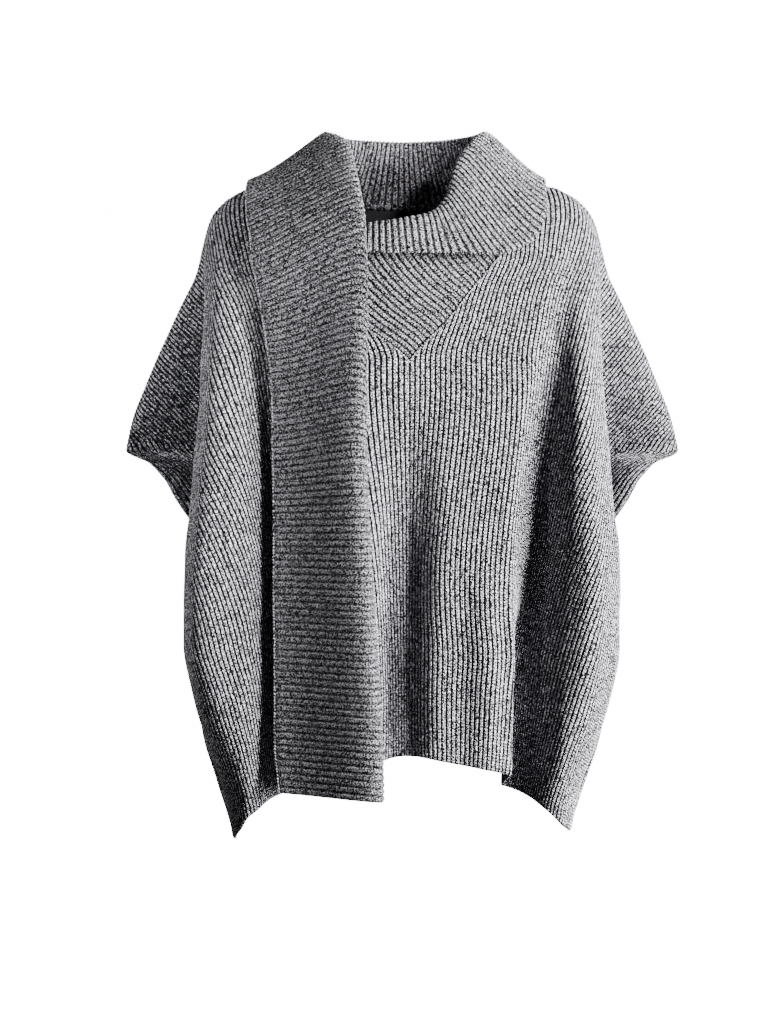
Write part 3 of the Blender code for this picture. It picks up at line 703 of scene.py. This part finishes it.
leg = reckon(stitches, "POWER", reckon(stitches, "SINE", reckon(stitches, "MULTIPLY", turn, np.pi)), 0.7)
crease = ramp(stitches, away, 0.0, 0.25, 0.55, 1.0)
flank = ramp(stitches, away, 0.5, 0.8, 1.0, 0.0)
height = reckon(stitches, "MULTIPLY", reckon(stitches, "MULTIPLY", leg, crease), flank)
leg_of_wale = reckon(stitches, "FLOOR", reckon(stitches, "MULTIPLY", wale, 2.0))
which = shader_node(
    stitches, "ShaderNodeCombineXYZ", {0: leg_of_wale, 1: reckon(stitches, "FLOOR", rise)}
)
tone = shader_node(
    stitches, "ShaderNodeTexWhiteNoise", {"Vector": which.outputs[0]}, noise_dimensions="2D"
)
stitches.links.new(height, result.inputs["Height"])
stitches.links.new(ramp(stitches, away, 0.48, 0.78), result.inputs["Groove"])
stitches.links.new(tone.outputs["Value"], result.inputs["Leg Tone"])


# The near-black groove colour is painted shade; the dark, middle and pale fibre colours are the yarn's own.
DARK_FIBRE, GROOVE_PAINTED_SHADE = (0.003, 0.003, 0.0035, 1), (0.0006, 0.0006, 0.0008, 1)
MIDDLE_FIBRE, PALE_FIBRE = np.array((0.10, 0.098, 0.112)), np.array((0.95, 0.935, 1.0))


def yarn_material(name, tone, fibre_scale, fleck_width, slant, leg_share, groove_dark, stitch_depth):
    """Grey melange wool, dark and pale fibres carded together, with painted shade in the grooves between
    ribs and in the low parts of each stitch.

    tone scales the colours, fibre_scale and fleck_width set how fine and how soft the flecks are, slant
    is how steep a leg of yarn lies, leg_share how much each leg has a tone of its own, and groove_dark
    how much of the groove's painted shade reaches the pale fibres. stitch_depth is in millimetres.
    """
    yarn = bpy.data.materials.new(name)
    yarn.use_nodes = True
    tree = yarn.node_tree
    shader = tree.nodes["Principled BSDF"]
    place = tree.nodes.new("ShaderNodeTexCoord").outputs["Object"]
    knit = shader_node(tree, "ShaderNodeUVMap", {}, uv_map="knit").outputs[0]
    stitch = shader_node(tree, "ShaderNodeGroup", {}, node_tree=stitches)
    tree.links.new(knit, stitch.inputs["Knit"])
    stitch.inputs["Slant"].default_value = slant
    fibre = shader_node(
        tree, "ShaderNodeTexNoise", {"Vector": place, "Scale": fibre_scale, "Detail": 1.0, "Roughness": 0.5}
    ).outputs["Fac"]
    fleck = ramp(tree, fibre, 0.5 - fleck_width, 0.5 + fleck_width)
    mixed = reckon(tree, "MULTIPLY", stitch.outputs["Leg Tone"], leg_share)
    mixed = reckon(tree, "MULTIPLY_ADD", fleck, 1 - leg_share, mixed)
    # Painted shade: the colour is darker where the stitch's relief is low, between courses, in the crease
    # between the two legs and towards the groove.
    between = ramp(tree, stitch.outputs["Height"], 0.1, 0.6, -0.3, 0.0)
    mixed = reckon(tree, "ADD", mixed, between)
    shades = tree.nodes.new("ShaderNodeValToRGB")
    shades.color_ramp.elements[0].color = DARK_FIBRE
    shades.color_ramp.elements[0].position = 0.08
    shades.color_ramp.elements[1].color = (*(PALE_FIBRE * tone), 1)
    shades.color_ramp.elements[1].position = 0.95
    middle = shades.color_ramp.elements.new(0.5)
    middle.color = (*(MIDDLE_FIBRE * tone), 1)
    tree.links.new(mixed, shades.inputs["Fac"])
    # Painted shade: the colour in each groove between ribs is mixed towards near black, fully on dark
    # fibres and less on pale ones.
    reach = ramp(tree, fibre, 0.4, 0.65, 1.0, groove_dark)
    low = reckon(tree, "MULTIPLY", stitch.outputs["Groove"], reach)
    shaded = shader_node(
        tree,
        "ShaderNodeMix",
        {"Factor": low, "A": shades.outputs["Color"], "B": GROOVE_PAINTED_SHADE},
        data_type="RGBA",
    )
    tree.links.new(shaded.outputs["Result"], shader.inputs["Base Color"])
    relief = reckon(tree, "MULTIPLY_ADD", fibre, 0.35, stitch.outputs["Height"])
    bump = shader_node(
        tree, "ShaderNodeBump", {"Height": relief, "Distance": stitch_depth * MM, "Strength": 1.0}
    )
    tree.links.new(bump.outputs["Normal"], shader.inputs["Normal"])
    shader.inputs["Roughness"].default_value = 0.92
    shader.inputs["Specular IOR Level"].default_value = 0.02
    shader.inputs["Sheen Weight"].default_value = 0.02
    shader.inputs["Sheen Roughness"].default_value = 0.5
    return yarn


def dress(piece, material, node):
    """Gives a knitted piece its yarn, and puts it in its solid's place."""
    piece.data.materials.clear()
    piece.data.materials.append(material)
    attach(piece, "root")
    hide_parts(node)
    bpy.ops.object.select_all(action="DESELECT")


PANEL_HALF_RIBS = 94
PANEL_THICK, PANEL_RISE = 2.6, 1.3
PANEL_COURSE = 3.3
SEAM_HALF_GAP = 0.15
HEM_AND_NECK = (0.0, 0.0025, 0.007)
PANEL_UNEVEN, PANEL_WAVES, EVEN_AT_ENDS = 0.8, 17.0, 0.06
panel_parts = np.concatenate(
    [HEM_AND_NECK, np.linspace(0.014, 0.986, 70), 1 - np.array(HEM_AND_NECK[::-1])]
)
panel_places = (np.arange(2 * PANEL_HALF_RIBS)[:, None] + np.array(RIDGE_PLACES)).ravel()
panel_places = np.append(panel_places, 2 * PANEL_HALF_RIBS) - PANEL_HALF_RIBS
panel_ribs = panel_places * CUFF_RIB / PANEL_HALF_RIBS
panel_yarn = yarn_material(
    "rib_yarn",
    tone=0.95,
    fibre_scale=820.0,
    fleck_width=0.14,
    slant=0.55,
    leg_share=0.2,
    groove_dark=0.9,
    stitch_depth=1.3,
)
panel_grids = {}
for panel, facing in (("front_panel", -1), ("back_panel", 1)):
    points = panel_points(panel, panel_ribs, panel_parts)
    normals = outward(points, facing)
    fade = np.clip(np.minimum(panel_parts, 1 - panel_parts) / EVEN_AT_ENDS, 0, 1)[:, None, None]
    points = points + normals * fade * PANEL_UNEVEN * waves(points, PANEL_WAVES)[..., None]
    points[0, np.abs(panel_ribs) > NECK_RIB - 0.1, 1] += facing * SEAM_HALF_GAP
    points[-1, np.abs(panel_ribs) > HEM_RIB - 0.1, 1] += facing * SEAM_HALF_GAP
    panel_grids[panel] = points, normals
    knitted = knit_wall(
        panel + "_knit",
        points,
        normals,
        len(RIDGE_PLACES),
        RIDGE_SHARES,
        PANEL_RISE,
        PANEL_THICK,
        PANEL_COURSE,
    )
    dress(knitted, panel_yarn, panel)

# ---------------------------------------------------------------- shawl collar and scarf end
# One long strip, knitted with its ribs across it. It is sewn to the neck along one edge and folded
# over: its first stretch is the collar, and past the wearer's right shoulder it hangs free as a scarf
# end, folded lengthwise.
STRIP = [
    # seam x y z, fold x y z, edge x y z, how round the fold is, how far the turned part sags
    (-84, -90, -60, -80, -86, -44, -82, -112, -72, 6, 0),
    (-36, -94, -48, -36, -92, -28, -37, -115, -58, 7, 0),
    (0, -96, -46, -2, -95, -23, 2, -117, -59, 8, 0),
    (33, -92, -42, 31, -88, -15, 44, -115, -59, 8, 0),
    (66, -82, -36, 47, -74, 4, 92, -111, -60, 9, 2),
    (98, -68, -26, 57, -52, 38, 132, -91, -48, 12, 6),
    (104, -38, 1, 73, -27, 65, 154, -61, -10, 13, 8),
    (105, 4, 15, 86, 2, 77, 155, 0, 27, 13, 8),
    (91, 41, 10, 67, 48, 76, 140, 66, 22, 12, 6),
    (55.5, 60.5, 2, 36, 66, 75, 74, 104, -8, 10, 3),
    (0, 66, -1, 0, 72, 74, 0, 114, -22, 10, 2),
    (-55.5, 60.5, 2, -36, 66, 75, -74, 104, -12, 10, 3),
    (-91, 41, 10, -66, 48, 76, -142, 70, 18, 8, 6),
    (-105, 6, 15, -81, 6, 78, -164, 6, 27, 6, 9),
    (-103, -30, -2, -59, -42, 65, -166, -36, 12, 7, 6),
    (-99, -62, -28, -51, -77, 38, -165, -62, -13, 9, 2),
    (-98, -90, -54, -45, -103, 10, -160, -86, -40, 11, 0),
    (-98, -108, -80, -40, -123, -20, -157, -101, -70, 14, 0),
    (-98, -120, -106, -38, -136, -58, -150, -109, -99, 19, 2),
    (-98, -123, -128, -37, -142, -96, -146, -112, -126, 22, 4),
    (-98, -123, -156, -37, -146, -138, -141, -112, -157, 24, 6),
    (-98, -122, -200, -38, -148, -190, -136, -110, -201, 24, 6),
    (-96, -121, -262, -38, -149, -254, -135, -109, -264, 24, 6),
    (-94, -119, -330, -36, -149, -328, -134, -108, -331, 24, 6),
    (-92, -118, -412, -31, -149, -413, -134, -108, -412, 24, 6),
    (-90, -118, -500, -25, -149, -502, -133, -108, -500, 24, 6),
    (-90, -118, -570, -21, -149, -573, -133, -108, -568, 24, 6),
    (-92, -118, -626, -20, -149, -630, -128, -112, -624, 24, 6),
]
SHOULDER_STATION = 13
STRIP_HALF_GAP = 0.25
STRIP_SAMPLES = 40
STAND_HANDLE = 0.42
TURN_HANDLE = 0.35
OUTER_EDGE_SHARE = 0.6
STRIP_THICK, STRIP_RISE = 2.8, 1.5
STRIP_COURSE = 3.1
STRIP_RIBS = {"collar_roll": 92, "scarf_end": 104}
STRIP_ROWS = 46


def strip_points(keys, at, parts):
    """Points of the shawl strip at these distances along it and parts of its breadth."""
    table = np.array(STRIP, float)
    rows = [(key, *row) for key, row in zip(keys, table)]
    seam, fold, edge = (
        np.stack([smooth(rows, k, at) for k in range(first, first + 3)], axis=1) for first in (1, 4, 7)
    )
    roundness, sag = (smooth(rows, k, at)[:, None] for k in (10, 11))
    width = unit(fold - (seam + edge) / 2)
    over = edge - seam
    over = unit(over - width * (over * width).sum(axis=1, keepdims=True))
    to_seam = STAND_HANDLE * np.linalg.norm(fold - seam, axis=1, keepdims=True)
    stand = bezier(seam, seam + width * to_seam, fold - over * roundness, fold, STRIP_SAMPLES)
    reach_edge = edge + TURN_HANDLE * (fold - edge) - over * sag
    turned = bezier(fold, fold + over * roundness, reach_edge, edge, STRIP_SAMPLES)
    whole = np.concatenate([stand, turned[:, 1:]], axis=1)
    return np.stack([along(whole, np.full(len(at), part)) for part in parts], axis=0)


table = np.array(STRIP, float)
run = np.linalg.norm(np.diff(table[:, 3:6], axis=0), axis=1)
run = run + OUTER_EDGE_SHARE * np.linalg.norm(np.diff(table[:, 6:9], axis=0), axis=1)
strip_keys = np.concatenate([[0], np.cumsum(run)])
shoulder = strip_keys[SHOULDER_STATION]
strip_parts = np.concatenate(
    [(0.0, 0.008, 0.02), np.linspace(0.04, 0.96, STRIP_ROWS), (0.98, 0.992, 1.0)]
)
STRIP_PER_RIB = 6
RIDGE_FULLNESS = 0.6
round_the_rib = 2 * np.pi * np.arange(STRIP_PER_RIB) / STRIP_PER_RIB
strip_shares = (0.5 - 0.5 * np.cos(round_the_rib)) ** RIDGE_FULLNESS
# Painted shade: the collar, the V's cloth and the stitch rows take the panels' grey yarn at about half its
# tone.
strip_yarn = yarn_material(
    "shawl_yarn",
    tone=0.48,
    fibre_scale=760.0,
    fleck_width=0.08,
    slant=0.7,
    leg_share=0.05,
    groove_dark=0.6,
    stitch_depth=1.1,
)
# Painted shade: the scarf end takes the collar's yarn at a lower tone, so that it comes out darker than the
# collar.
scarf_yarn_painted_shade = yarn_material(
    "scarf_yarn_painted_shade",
    tone=0.3,
    fibre_scale=760.0,
    fleck_width=0.06,
    slant=0.7,
    leg_share=0.0,
    groove_dark=0.15,
    stitch_depth=0.9,
)
strip_grids = {}
for piece, start, stop, cut in (
    ("collar_roll", 0, shoulder - STRIP_HALF_GAP, (0.145, 0.62)),
    ("scarf_end", shoulder + STRIP_HALF_GAP, strip_keys[-1], (0.165, 0.80)),
):
    at = np.linspace(start, stop, STRIP_RIBS[piece] * STRIP_PER_RIB + 1)
    points = strip_points(strip_keys, at, strip_parts)
    ahead = strip_points(strip_keys, at + 1, strip_parts) - strip_points(strip_keys, at - 1, strip_parts)
    normals = unit(np.cross(np.gradient(points, axis=0), ahead))
    strip_grids[piece] = points, normals
    knitted = knit_wall(
        piece + "_knit", points, normals, STRIP_PER_RIB, strip_shares, STRIP_RISE, STRIP_THICK, STRIP_COURSE
    )
    dress(knitted, scarf_yarn_painted_shade if piece == "scarf_end" else strip_yarn, piece)

# ---------------------------------------------------------------- cloth in the V
# A small knitted piece fills the lower V. Its ribs run along the V's left side, its lower edges are
# linked to the front's neck edge, and its top is sewn under the collar.
INSET_RIBS, INSET_ROWS, INSET_TUCK, INSET_BEHIND = 28, 44, -0.4, 0.4
INSET_THICK, INSET_RISE, INSET_COURSE = 2.2, 1.4, 3.1
INSET_RIGHT_RIB, INSET_LEFT_RIB, INSET_TOP_SHARE, INSET_REACH = 54.0, 52.0, 0.36, 0.95
INSET_BELOW_COLLAR = (0, 2.0, -2.6)
INSET_LEVEL_ROWS, INSET_LEVEL_REACH = slice(3, 12), 12
points, normals = panel_grids["front_panel"]
ahead_of_v = unit(normals[INSET_LEVEL_ROWS].mean(axis=0))
nearby = range(-INSET_LEVEL_REACH, INSET_LEVEL_REACH + 1)
ahead_of_v = unit(sum(np.roll(ahead_of_v, k, axis=0) for k in nearby))
edge = points[0] - ahead_of_v * INSET_BEHIND
edge = edge + INSET_TUCK * unit(np.cross(np.gradient(points[0], axis=0), ahead_of_v))
right = edge[(panel_ribs >= 0) & (panel_ribs < INSET_RIGHT_RIB)]
left = edge[(panel_ribs < 0) & (panel_ribs > -INSET_LEFT_RIB)][::-1]
collar = strip_grids["collar_roll"][0][0]
top = collar[: int(len(collar) * INSET_TOP_SHARE)] + np.array(INSET_BELOW_COLLAR)
left = np.concatenate([right[:1], left, top[:1]])
part = np.linspace(0, INSET_REACH, STRIP_PER_RIB * INSET_RIBS + 1)
rise_parts = np.linspace(0, 1, INSET_ROWS + 1)
low = along(np.repeat(right[None], len(part), axis=0), part)
high = along(np.repeat(top[None], len(part), axis=0), part)
first = along(np.repeat(left[None], len(rise_parts), axis=0), rise_parts)
straight = low[None] * (1 - rise_parts[:, None, None]) + high[None] * rise_parts[:, None, None]
points = straight + (first - straight[:, 0])[:, None] * (1 - part / part[-1])[None, :, None]
inset = knit_wall(
    "collar_inset_knit",
    points,
    outward(points, 1),
    STRIP_PER_RIB,
    strip_shares,
    INSET_RISE,
    INSET_THICK,
    INSET_COURSE,
)
dress(inset, strip_yarn, "collar_inset")

# ---------------------------------------------------------------- linking and selvedge stitches
# Rows of single stitches in the same yarn: the chain along the V's edge, the linking round the back of
# the neck, and the loops down the free selvedge of the scarf end. One stitch is shaped and repeated.
CHAIN_IN_FROM_EDGE, CHAIN_LIFT = 1.4, 0.9
LINKING_ROW, LINKING_LIFT, BACK_OF_NECK = 2, 0.6, 40.0
LOOPS_PAST_EDGE = 0.4
MIDDLE_OF_STITCH = 0.5


def stitch_row(name, path, ups, size, pitch, turned):
    """Stitches along a line of points, each turned on it. Their size is along, across and out."""
    bpy.ops.object.select_all(action="DESELECT")
    bpy.ops.mesh.primitive_uv_sphere_add(segments=8, ring_count=6, radius=0.5)
    row = bpy.context.object
    row.name = row.data.name = name
    share = np.concatenate([[0], np.cumsum(np.linalg.norm(np.diff(path, axis=0), axis=1))])
    count = int(share[-1] / pitch)
    part = (np.arange(count) + 0.5) / count
    places, raised = (
        np.stack([np.interp(part, share / share[-1], line[:, k]) for k in range(3)], axis=1)
        for line in (path, ups)
    )
    ahead = unit(np.gradient(places, axis=0))
    raised = unit(raised - ahead * (raised * ahead).sum(axis=1, keepdims=True))
    across = np.cross(raised, ahead)
    one = np.array([vert.co for vert in row.data.vertices]) * np.array(size)
    turn = np.array([[np.cos(turned), -np.sin(turned)], [np.sin(turned), np.cos(turned)]])
    one[:, :2] = one[:, :2] @ turn.T
    faces = [tuple(face.vertices) for face in row.data.polygons]
    spread = one[None, :, :1] * ahead[:, None] + one[None, :, 1:2] * across[:, None]
    spread = spread + one[None, :, 2:] * raised[:, None] + places[:, None]
    row.data.clear_geometry()
    row.data.from_pydata(
        (spread.reshape(-1, 3) * MM).tolist(),
        [],
        [tuple(corner + k * len(one) for corner in face) for k in range(count) for face in faces],
    )
    knit = row.data.uv_layers.new(name="knit").data
    knit.foreach_set("uv", np.full(2 * len(row.data.loops), MIDDLE_OF_STITCH))
    row.data.materials.append(strip_yarn)
    bpy.ops.object.shade_smooth()
    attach(row, "root")


points, normals = panel_grids["front_panel"]
on_v = (panel_ribs > -INSET_LEFT_RIB) & (panel_ribs < INSET_RIGHT_RIB)
on_edge = points[0] + unit(points[4] - points[0]) * CHAIN_IN_FROM_EDGE + ahead_of_v * CHAIN_LIFT
stitch_row("v_edge_chain", on_edge[on_v], ahead_of_v[on_v], size=(3.6, 1.9, 1.6), pitch=3.1, turned=0.35)
points, normals = strip_grids["collar_roll"]
at_back = points[0, :, 1] > BACK_OF_NECK
over_seam = points[LINKING_ROW] + normals[LINKING_ROW] * LINKING_LIFT
stitch_row(
    "back_neck_linking",
    over_seam[at_back],
    normals[LINKING_ROW][at_back],
    size=(1.5, 4.0, 1.6),
    pitch=2.6,
    turned=0.0,
)
points, normals = strip_grids["scarf_end"]
outermost = points[-1] + unit(points[-1] - points[-4]) * LOOPS_PAST_EDGE
stitch_row("scarf_selvedge", outermost, normals[-1], size=(2.8, 2.4, 2.2), pitch=3.4, turned=0.5)

# ---------------------------------------------------------------- neck label
# A bare black satin label, a thin slab bent to the neck's curve, sewn to the inside of the back neck.
LABEL_SIZE = (76.0, 1.0, 20.0)
LABEL_CENTRE = (-8.0, 67.6, -11.5)
LABEL_BEND = 0.0022
LABEL_CUTS = 15
bpy.ops.mesh.primitive_cube_add(size=1)
neck_label = bpy.context.object
neck_label.name = neck_label.data.name = "neck_label_satin"
neck_label.scale = LABEL_SIZE
bpy.ops.object.transform_apply(location=False, rotation=False, scale=True)
bpy.ops.object.mode_set(mode="EDIT")
bpy.ops.mesh.subdivide(number_cuts=LABEL_CUTS)
bpy.ops.object.mode_set(mode="OBJECT")
for vert in neck_label.data.vertices:
    x = vert.co.x + LABEL_CENTRE[0]
    y = vert.co.y + LABEL_CENTRE[1] - LABEL_BEND * x * x
    vert.co = (x * MM, y * MM, (vert.co.z + LABEL_CENTRE[2]) * MM)
bpy.ops.object.shade_smooth_by_angle(angle=0.6)
satin = bpy.data.materials.new("label_satin")
satin.use_nodes = True
shader = satin.node_tree.nodes["Principled BSDF"]
shader.inputs["Base Color"].default_value = (0.012, 0.012, 0.014, 1)
shader.inputs["Roughness"].default_value = 0.7
shader.inputs["Specular IOR Level"].default_value = 0.1
neck_label.data.materials.append(satin)
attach(neck_label, "root")
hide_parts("neck_label")
